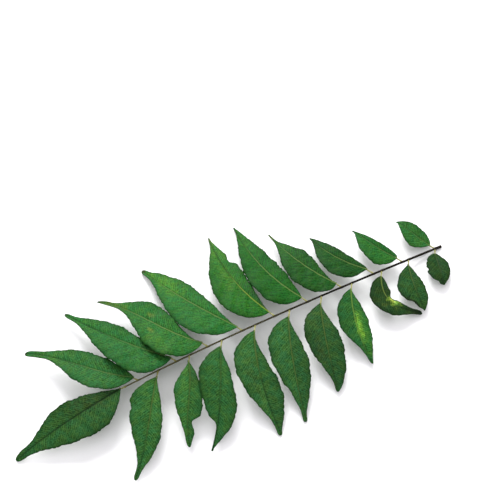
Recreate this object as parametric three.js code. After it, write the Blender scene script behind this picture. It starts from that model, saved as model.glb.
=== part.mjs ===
// A curry leaf sprig that lies down on a flat surface, as picked.
// One stem (the rachis) carries ten leaflets on each side and one at its tip.
// Every leaflet stands on its own short stalk.
//
// Lengths are millimetres and angles are degrees.
// The rachis runs along X, with its cut end at x = 0 and its tip towards -X.
// The right row of leaflets points to +Y, the left row to -Y, and +Z is up.
// The distal side of a leaflet is the side that faces the tip of the sprig.

import { Box3, BufferGeometry, Float32BufferAttribute, Group } from "three";
import { Mesh, MeshStandardMaterial, Vector3 } from "three";

const RACHIS_LENGTH = 147.6;
const RACHIS_CUT_RADIUS = 0.64;
const RACHIS_RADIUS = 0.5;
const RACHIS_TIP_RADIUS = 0.27;
const RACHIS_SWELLING_LENGTH = 4;
const RACHIS_ARCH = 9.9;
const RACHIS_ARCH_TOP_AT = 100;
const RACHIS_SIDE_BOW = 0.35;

const STALK_ANGLE = 58;
const STALK_RADIUS = 0.3;
const STALK_RISE = 0.9;
const JOINING_GAP = 0.3;

const BLADE_EDGE_THICKNESS = 0.35;
const MIDRIB_THICKNESS = 0.8;
const MIDRIB_HALF_WIDTH = 0.12;
const BLADE_END_HALF_WIDTH = 0.3;
const FOLD_ANGLE = 10;
const ROLL_ANGLE = 8;
const EDGE_CURL = 0.1;
const MIDRIB_ROUNDING = 0.1;

const BLADE_STEPS = 15;
const BLADE_ACROSS = [-1, -0.55, 0, 0.55, 1];
const RACHIS_STEPS = 32;
const RACHIS_SIDES = 10;
const STALK_STEPS = 3;
const STALK_SIDES = 7;

const LEAF_GREEN = 0x35683a;
const STALK_GREEN = 0xa9b46a;
const RACHIS_BROWN = 0x3b3d24;

// One entry per leaflet, counted from the cut end.
//   at          distance of its stalk along the rachis
//   stalk       length of the stalk
//   angle       direction of the blade from base to tip, away from the sprig's own direction
//   length      straight length of the blade
//   tipHeight   height of the blade's tip above the surface, on its underside
//   turn        how far the midrib leans to the distal side at the base and at the tip
//   distal      half-blade: width, where it is widest, roundness of the base, sharpness of the tip
//   proximal    the other half-blade, in the same order
//   tail        where the drip tip begins and its half-width
//   notches     dents of the margin: side, where, depth, rise before and fall after
const LEFT_LEAFLETS = [
  { at: 3.2, stalk: 2.5, angle: 74, length: 15.6, tipHeight: 2.2, turn: [3, -3],
    distal: [5.5, 0.5, 0.6, 0.75], proximal: [4.6, 0.46, 0.9, 0.9],
    notches: [["distal", 0.48, 1, 0.07, 0.08], ["distal", 0.87, 0.9, 0.06, 0.09]] },
  { at: 16.6, stalk: 2.6, angle: 79, length: 21.8, tipHeight: 2.2, turn: [11, -11],
    distal: [7.4, 0.5, 1.2, 1.45], proximal: [4.4, 0.6, 1.15, 0.85],
    notches: [["distal", 0.77, 1.4, 0.07, 0.15]] },
  { at: 30, stalk: 3.1, angle: 112, length: 22.5, tipHeight: 0.7, turn: [52, -44], lift: 0,
    distal: [6.6, 0.3, 0.8, 1.85], proximal: [2.6, 0.25, 0.6, 0.8], tail: [0.96, 1],
    notches: [["proximal", 0.4, 1.6, 0.14, 0.16]] },
  { at: 44.6, stalk: 3.1, angle: 78.3, length: 32.2, tipHeight: 1.2, turn: [17.5, -17],
    distal: [7.1, 0.38, 0.95, 2.3], proximal: [5.3, 0.52, 1.25, 1.1], tail: [0.9, 0.8],
    notches: [["distal", 0.74, 0.5, 0.1, 0.12]] },
  { at: 59.1, stalk: 3.8, angle: 73.8, length: 36.7, tipHeight: 1.2, turn: [9, -4],
    distal: [8.4, 0.31, 1.1, 2.05], proximal: [6.7, 0.54, 1.6, 0.74], tail: [0.96, 0.65] },
  { at: 74, stalk: 3.6, angle: 72.4, length: 42.5, tipHeight: 0, turn: [10, -5],
    distal: [9.2, 0.28, 1, 2.1], proximal: [6.4, 0.5, 1.6, 1.55], tail: [0.97, 0.85],
    notches: [["distal", 0.7, 0.45, 0.1, 0.1]] },
  { at: 89.8, stalk: 3, angle: 78, length: 42.4, tipHeight: 0, turn: [16, -10],
    distal: [9.4, 0.3, 1, 2.2], proximal: [6.9, 0.6, 2.1, 1.15], tail: [0.97, 0.85],
    notches: [["proximal", 0.37, 0.5, 0.12, 0.12]] },
  { at: 105, stalk: 3, angle: 59, length: 41.2, tipHeight: 1.2, turn: [-5, 14],
    distal: [8.9, 0.3, 0.95, 2.3], proximal: [6.7, 0.6, 1.5, 1.6],
    notches: [["distal", 0.74, 1.9, 0.06, 0.2], ["proximal", 0.4, 0.7, 0.14, 0.1]] },
  { at: 119.6, stalk: 2.6, angle: 65.2, length: 33.6, tipHeight: 2.2, turn: [-12, -14],
    distal: [6.1, 0.36, 1.6, 2.4], proximal: [5.4, 0.52, 1.3, 1.1], tail: [0.9, 1],
    notches: [["proximal", 0.71, 2.8, 0.07, 0.16]] },
  { at: 133.5, stalk: 2.8, angle: 52.4, length: 40.8, tipHeight: 0.4, turn: [-1, 12],
    distal: [8.6, 0.29, 1.15, 2.3], proximal: [5.3, 0.54, 1.4, 1.75], tail: [0.95, 0.9],
    notches: [["distal", 0.35, 0.7, 0.06, 0.08]] },
];

const RIGHT_LEAFLETS = [
  { at: 3.1, stalk: 2.5, angle: 61, length: 17.3, tipHeight: 4.2, turn: [6, -6],
    distal: [5.7, 0.42, 1, 1.7], proximal: [4.4, 0.45, 0.6, 0.95] },
  { at: 19.5, stalk: 2.7, angle: 61, length: 22.5, tipHeight: 4.2, turn: [12, -12],
    distal: [7.9, 0.34, 0.8, 1.7], proximal: [2.6, 0.38, 0.4, 1] },
  { at: 33.7, stalk: 3.2, angle: 60, length: 28.5, tipHeight: 3.2, turn: [21, -23],
    distal: [8.6, 0.36, 1.1, 2], proximal: [3.8, 0.55, 0.7, 0.8] },
  { at: 49.5, stalk: 2.3, angle: 69, length: 38, tipHeight: 1.7, turn: [18, -16],
    distal: [9.5, 0.32, 0.4, 3], proximal: [5.5, 0.52, 1.8, 3], tail: [0.85, 0.5] },
  { at: 65.6, stalk: 2.6, angle: 79, length: 46.7, tipHeight: 0, turn: [23, -17],
    distal: [10.1, 0.22, 0.7, 2], proximal: [5.8, 0.42, 0.9, 1] },
  { at: 80.9, stalk: 2.4, angle: 83, length: 46.7, tipHeight: 0, turn: [22, -17],
    distal: [11.6, 0.27, 0.7, 2.2], proximal: [5.5, 0.53, 1.3, 1.6], tail: [0.9, 0.5],
    notches: [["proximal", 0.64, 1.8, 0.05, 0.12]] },
  { at: 95.7, stalk: 2.1, angle: 63, length: 50.9, tipHeight: 0, turn: [11, -11],
    distal: [11.7, 0.3, 0.85, 2.3], proximal: [6.5, 0.6, 1.5, 1.2], tail: [0.96, 1.1] },
  { at: 111.2, stalk: 2.5, angle: 52, length: 49.5, tipHeight: 2.7, turn: [14, 10],
    distal: [11.3, 0.27, 0.7, 4.2], proximal: [7.7, 0.52, 2.1, 3.5], tail: [0.84, 0.9] },
  { at: 125.2, stalk: 2.4, angle: 52.3, length: 50.5, tipHeight: 2.7, turn: [12, -10],
    distal: [11.3, 0.24, 0.75, 2.35], proximal: [5.6, 0.53, 1.8, 1.9], tail: [0.94, 1] },
  { at: 142.3, stalk: 1.9, angle: 41.5, length: 47.4, tipHeight: 2.7, turn: [13, 8],
    distal: [8.1, 0.31, 0.9, 3.5], proximal: [6.4, 0.42, 0.75, 2.2], tail: [0.94, 1.3] },
];

// The end leaflet's distal half is the one on the +Y side.
const END_LEAFLET = { at: 148, stalk: 2, angle: 7.4, length: 49.2, tipHeight: 0, turn: [-2, -4],
  distal: [6.9, 0.5, 1.3, 3.2], proximal: [10.2, 0.3, 1, 1.65], tail: [0.91, 1.6] };

const BLADE_LIFT = 6;
const BLADE_DIP = -22;
const LEFT = -1;
const RIGHT = 1;

const radians = (degrees) => degrees * Math.PI / 180;

function clamp(value, low, high) {
  return Math.min(Math.max(value, low), high);
}

function smoothStep(value) {
  const x = clamp(value, 0, 1);
  return x * x * (3 - 2 * x);
}

function mix(from, to, share) {
  return from + (to - from) * share;
}

// Centre of the rachis at a distance along it from the cut end.
function rachisPoint(along) {
  const arch = RACHIS_ARCH * Math.sin(Math.PI / 2 * along / RACHIS_ARCH_TOP_AT);
  const bow = -RACHIS_SIDE_BOW * Math.sin(Math.PI * along / RACHIS_LENGTH);
  return new Vector3(-along, bow, RACHIS_CUT_RADIUS + arch);
}

function rachisRadius(along) {
  const taper = mix(RACHIS_RADIUS, RACHIS_TIP_RADIUS, along / RACHIS_LENGTH);
  const swelling = 1 - smoothStep(along / RACHIS_SWELLING_LENGTH);
  return taper + (RACHIS_CUT_RADIUS - RACHIS_RADIUS) * swelling;
}

// Unit vector at an angle away from the sprig's own direction, and at a pitch above level.
function heading(side, angle, pitch) {
  const level = Math.cos(radians(pitch));
  return new Vector3(
    -Math.cos(radians(angle)) * level,
    side * Math.sin(radians(angle)) * level,
    Math.sin(radians(pitch)),
  );
}

function bladeBase(leaflet, side) {
  const stalkAngle = leaflet === END_LEAFLET ? 0 : STALK_ANGLE;
  const base = heading(side, stalkAngle, 0).multiplyScalar(leaflet.stalk);
  base.x -= leaflet.at;
  base.z += rachisPoint(leaflet.at).z + STALK_RISE;
  return base;
}

// The midrib is a cubic curve: it leaves the stalk slightly upwards and comes down at the tip.
function midrib(leaflet, side) {
  const base = bladeBase(leaflet, side);
  const tip = base.clone().addScaledVector(heading(side, leaflet.angle, 0), leaflet.length);
  tip.z = leaflet.tipHeight + MIDRIB_THICKNESS;
  const lift = leaflet.lift ?? BLADE_LIFT;
  const pitches = [lift, BLADE_DIP];
  const handles = leaflet.turn.map((turn, index) => {
    const reach = leaflet.length / 3 / Math.cos(radians(turn));
    return heading(side, leaflet.angle - turn, pitches[index]).multiplyScalar(reach);
  });
  const afterBase = base.clone().add(handles[0]);
  const beforeTip = tip.clone().sub(handles[1]);
  return [base, afterBase, beforeTip, tip];
}

function curvePoint(curve, t) {
  const s = 1 - t;
  const weights = [s * s * s, 3 * s * s * t, 3 * s * t * t, t * t * t];
  const point = new Vector3();
  curve.forEach((control, index) => point.addScaledVector(control, weights[index]));
  return point;
}

function curveDirection(curve, t) {
  const s = 1 - t;
  const weights = [s * s, 2 * s * t, t * t];
  const direction = new Vector3();
  weights.forEach((weight, index) => {
    direction.addScaledVector(curve[index + 1], weight);
    direction.addScaledVector(curve[index], -weight);
  });
  return direction.normalize();
}

function notchDepth(notches, sideName, t) {
  return notches
    .filter(([name]) => name === sideName)
    .reduce((total, [, at, depth, rise, fall]) => {
      const share = t < at ? smoothStep((t - at + rise) / rise) : 1 - smoothStep((t - at) / fall);
      return total + depth * share;
    }, 0);
}

// Half-width of one side of a blade at a share t of its length.
function halfWidth(leaflet, sideName, t) {
  const [width, widestAt, baseRoundness, tipSharpness] = leaflet[sideName];
  const beforeWidest = t < widestAt;
  const reach = beforeWidest ? (widestAt - t) / widestAt : (t - widestAt) / (1 - widestAt);
  const power = beforeWidest ? baseRoundness : tipSharpness;
  const full = width * Math.pow(1 - reach * reach, power);
  const dented = Math.max(full - notchDepth(leaflet.notches ?? [], sideName, t), 0);
  const [tailFrom, tailHalfWidth] = leaflet.tail ?? [1, 0];
  const pastTail = tailFrom < 1 ? clamp((t - tailFrom) / (1 - tailFrom), 0, 1) : 0;
  const tail = tailHalfWidth * Math.sqrt(1 - pastTail * pastTail) * smoothStep(t / 0.3);
  return Math.max(Math.cbrt(dented ** 3 + tail ** 3), BLADE_END_HALF_WIDTH);
}

// Adds two triangles for the four corners, in anticlockwise order as seen from outside.
function addQuad(indices, a, b, c, d) {
  indices.push(a, b, c, a, c, d);
}

function meshFrom(name, points, indices, colour) {
  const geometry = new BufferGeometry();
  const positions = points.flatMap((point) => point.toArray());
  geometry.setAttribute("position", new Float32BufferAttribute(positions, 3));
  geometry.setIndex(indices);
  geometry.computeVertexNormals();
  const mesh = new Mesh(geometry, new MeshStandardMaterial({ color: colour, roughness: 0.5 }));
  mesh.name = name;
  return mesh;
}

// A blade is an upper and a lower skin, joined by a wall all round its margin.
function buildBlade(name, leaflet, side) {
  const curve = midrib(leaflet, side);
  const across = BLADE_ACROSS.length;
  const upper = [];
  const lower = [];
  for (let step = 0; step < BLADE_STEPS; step += 1) {
    const t = (1 - Math.cos(Math.PI * step / (BLADE_STEPS - 1))) / 2;
    const centre = curvePoint(curve, t);
    const forward = curveDirection(curve, t);
    const level = new Vector3(0, 0, side).cross(forward).normalize();
    const distal = level.applyAxisAngle(forward, side * radians(ROLL_ANGLE));
    const up = new Vector3().crossVectors(forward, distal).multiplyScalar(side);
    for (const share of BLADE_ACROSS) {
      const width = halfWidth(leaflet, share > 0 ? "distal" : "proximal", t);
      const bent = Math.sqrt(share * share + MIDRIB_ROUNDING ** 2) - MIDRIB_ROUNDING;
      const rise = width * (Math.tan(radians(FOLD_ANGLE)) * bent - EDGE_CURL * share * share);
      const point = centre.clone().addScaledVector(distal, share * width).addScaledVector(up, rise);
      const nearMidrib = Math.exp(-((share / MIDRIB_HALF_WIDTH) ** 2));
      const thickness = mix(BLADE_EDGE_THICKNESS, MIDRIB_THICKNESS, nearMidrib);
      upper.push(point);
      lower.push(point.clone().addScaledVector(up, -thickness));
    }
  }
  const half = upper.length;
  const indices = [];
  const quad = (...corners) => addQuad(indices, ...(side === LEFT ? corners : corners.reverse()));
  for (let step = 0; step < BLADE_STEPS - 1; step += 1) {
    for (let column = 0; column < across - 1; column += 1) {
      const corner = step * across + column;
      quad(corner, corner + 1, corner + 1 + across, corner + across);
      quad(half + corner, half + corner + across, half + corner + 1 + across, half + corner + 1);
    }
    const first = step * across;
    const last = first + across - 1;
    quad(first, first + across, half + first + across, half + first);
    quad(last + across, last, half + last, half + last + across);
  }
  const tipRow = (BLADE_STEPS - 1) * across;
  for (let column = 0; column < across - 1; column += 1) {
    quad(column + 1, column, half + column, half + column + 1);
    quad(tipRow + column, tipRow + column + 1, half + tipRow + column + 1, half + tipRow + column);
  }
  return meshFrom(name, [...upper, ...lower], indices, LEAF_GREEN);
}

// A solid rod through the given centres, with its ends closed by fans.
function buildRod(name, centres, radii, sides, colour) {
  const points = [];
  const indices = [];
  centres.forEach((centre, step) => {
    const before = centres[Math.max(step - 1, 0)];
    const after = centres[Math.min(step + 1, centres.length - 1)];
    const forward = after.clone().sub(before).normalize();
    const across = new Vector3(0, 0, 1).cross(forward).normalize();
    const up = new Vector3().crossVectors(forward, across);
    for (let side = 0; side < sides; side += 1) {
      const angle = 2 * Math.PI * side / sides;
      const point = centre.clone().addScaledVector(across, radii[step] * Math.cos(angle));
      points.push(point.addScaledVector(up, radii[step] * Math.sin(angle)));
    }
  });
  for (let step = 0; step < centres.length - 1; step += 1) {
    for (let side = 0; side < sides; side += 1) {
      const next = (side + 1) % sides;
      const near = step * sides;
      addQuad(indices, near + side, near + next, near + sides + next, near + sides + side);
    }
  }
  const lastRing = (centres.length - 1) * sides;
  points.push(centres[0].clone(), centres[centres.length - 1].clone());
  for (let side = 0; side < sides; side += 1) {
    const next = (side + 1) % sides;
    indices.push(points.length - 2, next, side);
    indices.push(points.length - 1, lastRing + side, lastRing + next);
  }
  return meshFrom(name, points, indices, colour);
}

function buildRachis() {
  const steps = Array.from({ length: RACHIS_STEPS }, (_, step) => step / (RACHIS_STEPS - 1));
  const distances = steps.map((share) => RACHIS_LENGTH * share);
  const radii = distances.map(rachisRadius);
  return buildRod("rachis", distances.map(rachisPoint), radii, RACHIS_SIDES, RACHIS_BROWN);
}

// The stalk stops short of the rachis and of the blade, so that the pieces never overlap.
function buildStalk(name, leaflet, side) {
  const root = rachisPoint(Math.min(leaflet.at, RACHIS_LENGTH));
  const end = bladeBase(leaflet, side);
  const forward = end.clone().sub(root).normalize();
  const lean = radians(leaflet === END_LEAFLET ? 90 : STALK_ANGLE);
  const rachisSkin = leaflet === END_LEAFLET ? 0 : rachisRadius(leaflet.at);
  const clearance = (rachisSkin + JOINING_GAP + STALK_RADIUS * Math.cos(lean)) / Math.sin(lean);
  const start = root.addScaledVector(forward, clearance);
  end.addScaledVector(forward, -JOINING_GAP);
  end.z -= MIDRIB_THICKNESS / 2;
  const shares = Array.from({ length: STALK_STEPS }, (_, step) => step / (STALK_STEPS - 1));
  const centres = shares.map((share) => start.clone().lerp(end, share));
  const radii = shares.map(() => STALK_RADIUS);
  return buildRod(name, centres, radii, STALK_SIDES, STALK_GREEN);
}

function addLeaflet(sprig, label, leaflet, side) {
  sprig.add(buildBlade(`leaflet_${label}`, leaflet, side));
  sprig.add(buildStalk(`stalk_${label}`, leaflet, side));
}

function addRow(sprig, rowName, leaflets, side) {
  leaflets.forEach((leaflet, index) => {
    const number = String(index + 1).padStart(2, "0");
    addLeaflet(sprig, `${rowName}_${number}`, leaflet, side);
  });
}

// Moves every mesh so that the whole sprig is centred on the origin and rests on z = 0.
function restOnGround(sprig) {
  const box = new Box3().setFromObject(sprig);
  const centre = box.getCenter(new Vector3());
  sprig.children.forEach((mesh) => mesh.geometry.translate(-centre.x, -centre.y, -box.min.z));
}

const sprig = new Group();
sprig.name = "curry_leaf_sprig";
sprig.add(buildRachis());
addRow(sprig, "left", LEFT_LEAFLETS, LEFT);
addRow(sprig, "right", RIGHT_LEAFLETS, RIGHT);
addLeaflet(sprig, "end", END_LEAFLET, LEFT);
restOnGround(sprig);

export default sprig;
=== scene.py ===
"""Looks of a curry leaf sprig that lies on a pale table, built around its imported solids.

The sprig is measured in millimetres from the cut end of its stem: the stem runs towards -X,
the right row of leaflets points to +Y and the left row to -Y. SprigPlace turns these lengths
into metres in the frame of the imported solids. The distal half of a blade faces the sprig's tip.
"""

import logging
import math
from dataclasses import dataclass, field
from enum import Enum

import bpy
import numpy as np
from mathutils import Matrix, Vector


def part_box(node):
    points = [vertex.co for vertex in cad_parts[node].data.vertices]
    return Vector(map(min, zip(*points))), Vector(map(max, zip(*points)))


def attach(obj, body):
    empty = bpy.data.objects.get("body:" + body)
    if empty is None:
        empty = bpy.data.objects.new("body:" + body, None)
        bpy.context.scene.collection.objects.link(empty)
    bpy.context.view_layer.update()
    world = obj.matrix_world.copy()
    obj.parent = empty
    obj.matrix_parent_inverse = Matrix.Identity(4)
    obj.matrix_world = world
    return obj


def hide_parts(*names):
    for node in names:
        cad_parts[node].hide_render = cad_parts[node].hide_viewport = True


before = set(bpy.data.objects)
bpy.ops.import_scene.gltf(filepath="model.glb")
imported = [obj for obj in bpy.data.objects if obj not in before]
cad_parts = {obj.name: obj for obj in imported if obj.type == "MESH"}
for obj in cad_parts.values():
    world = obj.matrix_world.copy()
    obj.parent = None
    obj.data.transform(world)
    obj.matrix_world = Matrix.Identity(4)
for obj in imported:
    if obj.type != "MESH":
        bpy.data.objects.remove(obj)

LOG = logging.getLogger("curry_leaf_sprig")
MM = 0.001
BODY = "root"

Array = np.ndarray
Colour = tuple[float, float, float]
Display = tuple[int, int, int]
Faces = list[tuple[int, ...]]
Socket = bpy.types.NodeSocket
Value = Socket | float | Colour


class Row(Enum):
    """Where a leaflet stands on the stem."""

    LEFT = "left"
    RIGHT = "right"
    END = "end"

    @property
    def side(self) -> int:
        """Returns 1 for blades that point to +Y, and -1 for the others."""
        return 1 if self is Row.RIGHT else -1


class Half(Enum):
    """One half of a blade, to one side of its midrib."""

    DISTAL = 1
    PROXIMAL = -1


class Irregularity(Enum):
    """Added to a leaflet's number to choose each of its waves."""

    PROXIMAL_MARGIN = 0
    MARGIN_WAVES = 3
    DISTAL_MARGIN = 7
    EDGE = 20
    BLADE = 30
    STALK = 50


class Slot(Enum):
    """Material slots of the sprig's record."""

    RACHIS = "rachis"
    STALK = "stalk"
    LEAFLET = "leaflet"


def smooth_step(value: Array) -> Array:
    """Eases a value from 0 to 1.

    Args:
        value: Any numbers; those outside 0 to 1 are clipped.

    Returns:
        The eased numbers.
    """
    x = np.clip(value, 0.0, 1.0)
    return x * x * (3.0 - 2.0 * x)


def hump(value: Array, middle: float, spread: float) -> Array:
    """Returns a smooth hump that is 1 in the middle and fades to both sides."""
    return np.exp(-(((value - middle) / spread) ** 2))


def unit(vectors: Array) -> Array:
    """Returns vectors, one per row, scaled to length 1."""
    return vectors / np.linalg.norm(vectors, axis=-1, keepdims=True)


@dataclass(frozen=True)
class Waver:
    """A smooth irregular wave, the same on every run.

    Attributes:
        seed: Chooses the wave.
        period: Longest wavelength, in the unit of what it is asked for.
        octaves: How many waves it is made of.
        quicker: How much shorter each wave is than the one before.
        weaker: Height of each wave, as a share of the one before.
        spread: Height of the sum that counts as 1.
    """

    seed: int
    period: float
    octaves: int = 3
    quicker: float = 1.83
    weaker: float = 0.6
    spread: float = 1.6

    def at(self, place: Array, other: Array | float = 0.0) -> Array:
        """Reads the wave.

        Args:
            place: Positions along the first direction.
            other: Positions along the second direction.

        Returns:
            Heights between about -1 and 1.
        """
        source = np.random.default_rng(self.seed)
        total = np.zeros(np.broadcast(place, other).shape)
        for octave in range(self.octaves):
            lean = source.uniform(-1.0, 1.0)
            phase = source.uniform(0.0, 2.0 * math.pi)
            rate = 2.0 * math.pi * self.quicker**octave / self.period
            total += self.weaker**octave * np.sin(rate * (place + lean * other) + phase)
        return total / self.spread


@dataclass(frozen=True)
class HalfBlade:
    """Outline of one half of a blade.

    Attributes:
        width: Greatest distance from midrib to margin.
        widest_at: Share of the length at which it is widest.
        base_roundness: Small for a round base, large for a wedge.
        tip_sharpness: Small for a blunt tip, large for a drawn-out one.
    """

    width: float
    widest_at: float
    base_roundness: float
    tip_sharpness: float

    def full(self, t: Array) -> Array:
        """Measures the outline before notches and tail.

        Args:
            t: Shares of the length.

        Returns:
            Distances from midrib to margin.
        """
        before = t < self.widest_at
        to_base = (self.widest_at - t) / self.widest_at
        to_tip = (t - self.widest_at) / (1.0 - self.widest_at)
        reach = np.where(before, to_base, to_tip)
        power = np.where(before, self.base_roundness, self.tip_sharpness)
        return self.width * np.clip(1.0 - reach**2, 0.0, 1.0) ** power


@dataclass(frozen=True)
class Notch:
    """A dent of the margin.

    Attributes:
        half: The half of the blade that it dents.
        at: Share of the length where it is deepest.
        depth: How far it reaches in.
        rise: Share of the length over which it starts.
        fall: Share of the length over which it fades.
    """

    half: Half
    at: float
    depth: float
    rise: float
    fall: float

    def dent(self, t: Array) -> Array:
        """Measures the dent.

        Args:
            t: Shares of the length.

        Returns:
            How far it reaches in at each of them.
        """
        start = smooth_step((t - self.at + self.rise) / self.rise)
        end = 1.0 - smooth_step((t - self.at) / self.fall)
        return self.depth * np.where(t < self.at, start, end)


@dataclass(frozen=True)
class BladeForm:
    """Shape and stance of one leaflet.

    Attributes:
        at: Distance of its stalk along the stem from the cut end.
        stalk: Length of the stalk.
        angle: Direction of the blade, away from the sprig's own direction.
        length: Straight length of the blade.
        tip_height: Height of the underside of the tip above the table.
        turn: How far the midrib leans to the distal side at the base and at the tip.
        distal: Outline of the half that faces the sprig's tip.
        proximal: Outline of the other half.
        tail: Where the drip tip starts and its half-width.
        notches: Dents of the margin.
        lift: Upward slope of the midrib at the base.
        tail_ease: Share of the length over which the tail's own width sets in.
    """

    at: float
    stalk: float
    angle: float
    length: float
    tip_height: float
    turn: tuple[float, float]
    distal: HalfBlade
    proximal: HalfBlade
    tail: tuple[float, float] = (1.0, 0.0)
    notches: tuple[Notch, ...] = ()
    lift: float = 6.0
    tail_ease: float = 0.3

    def half_width(self, half: Half, t: Array) -> Array:
        """Measures one half of the blade.

        Args:
            half: Which half.
            t: Shares of the length.

        Returns:
            Distances from midrib to margin.
        """
        outline = self.distal if half is Half.DISTAL else self.proximal
        dents = np.zeros_like(t)
        for notch in self.notches:
            if notch.half is half:
                dents = dents + notch.dent(t)
        dented = np.maximum(outline.full(t) - dents, 0.0)
        tail_from, tail_half_width = self.tail
        past = np.zeros_like(t)
        if tail_from < 1.0:
            past = np.clip((t - tail_from) / (1.0 - tail_from), 0.0, 1.0)
        tail = tail_half_width * np.sqrt(1.0 - past**2) * smooth_step(t / self.tail_ease)
        return np.maximum(np.cbrt(dented**3 + tail**3), SECTION.end_half_width)


@dataclass(frozen=True)
class BladeSection:
    """Cross-section that all blades share.

    Attributes:
        end_half_width: Least half-width, at the base and at the tip.
        full_size_at: Half-width from which bulges and waves have their full height.
        fold: Angle by which both halves rise from the midrib.
        roll: Angle by which the blade is turned about its midrib.
        edge_curl: How far the margins come down again, as a share of the half-width.
        fold_rounding: How rounded the fold is, as a share of the half-width.
        wave: Height and length of the margin's waves.
        ripple: Height and length of the blade's own waves.
        pillow: How far the skin bulges between the side veins.
        vein_ridge: How far the side veins stand out below.
        groove: Depth and half-width of the groove over the midrib, and how much of it fades.
        keel: Depth and half-width of the midrib below, and how much of it fades.
        thickness: Thickness at the margin.
        body: Thickness that the blade gains towards the midrib.
        rim: How far the rounded margin stands out.
    """

    end_half_width: float = 0.3
    full_size_at: float = 8.0
    fold: float = math.radians(10.0)
    roll: float = math.radians(8.0)
    edge_curl: float = 0.1
    fold_rounding: float = 0.1
    wave: tuple[float, float] = (0.55, 17.0)
    ripple: tuple[float, float] = (0.16, 6.5)
    pillow: float = 0.09
    vein_ridge: float = 0.05
    groove: tuple[float, float, float] = (0.16, 0.38, 0.6)
    keel: tuple[float, float, float] = (0.38, 0.42, 0.65)
    thickness: float = 0.26
    body: float = 0.1
    rim: float = 0.12

    def ridge(self, form: tuple[float, float, float], t: Array, across: Array) -> Array:
        """Returns the height of the groove or the keel at shares t, by distance across."""
        depth, half_width, fading = form
        return depth * hump(across, 0.0, half_width) * (1.0 - fading * t)


@dataclass(frozen=True)
class MarginForm:
    """Waves and scallops that all margins share.

    Attributes:
        ease: Shares of the length over which they set in at the base and at the tip.
        full_size_at: Half-width from which they have their full size.
        scallop: Depth and spacing of the scallops.
        scallop_middle: Level of a scallop that counts as no change of width.
        drift: How far the scallops are shifted, and over which length that varies.
        wave: Depth and length of the waves.
        least: Least half-width, as a share of the blade's own.
    """

    ease: tuple[float, float] = (0.12, 0.08)
    full_size_at: float = 5.0
    scallop: tuple[float, float] = (0.24, 2.1)
    scallop_middle: float = 0.6
    drift: tuple[float, float] = (0.5, 9.0)
    wave: tuple[float, float] = (0.22, 8.0)
    least: float = 0.8

    def shape(self, width: Array, t: Array, along: Array, seed: int) -> Array:
        """Adds the waves and scallops to a smooth margin.

        Args:
            width: Half-widths of the smooth blade.
            t: Shares of the length.
            along: Distances along the midrib.
            seed: Chooses the waves.

        Returns:
            Distances from midrib to margin.
        """
        ends = smooth_step(t / self.ease[0]) * smooth_step((1.0 - t) / self.ease[1])
        size = np.minimum(width / self.full_size_at, 1.0) * ends
        shifted = along + self.drift[0] * Waver(seed, self.drift[1]).at(along)
        scallops = np.abs(np.sin(math.pi * shifted / self.scallop[1])) - self.scallop_middle
        waves = Waver(seed + Irregularity.MARGIN_WAVES.value, self.wave[1]).at(along)
        shaped = width + size * (self.scallop[0] * scallops + self.wave[0] * waves)
        return np.maximum(shaped, SECTION.end_half_width * self.least)


@dataclass(frozen=True)
class VeinPattern:
    """Course of the side veins.

    Attributes:
        spacing: Distance between two veins along the midrib.
        lean: How far a vein runs towards the tip for each millimetre outwards.
        curve: How much more it leans further out.
        relief_width: Share of the spacing that a vein's relief takes up.
    """

    spacing: float = 2.2
    lean: float = 0.75
    curve: float = 0.035
    relief_width: float = 0.55

    def relief(self, along: Array, across: Array) -> Array:
        """Measures how close places on a blade are to a side vein.

        Args:
            along: Distances along the midrib.
            across: Distances from it, positive on the distal half.

        Returns:
            1 on a vein, falling to 0 between two of them.
        """
        distance = np.abs(across)
        course = along - distance * self.lean - self.curve * distance**2
        count = course / self.spacing + np.where(across > 0.0, 0.5, 0.0)
        nearest = np.abs(count % 1.0 - 0.5) * 2.0
        return smooth_step((nearest - 1.0 + self.relief_width) / self.relief_width)


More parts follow.
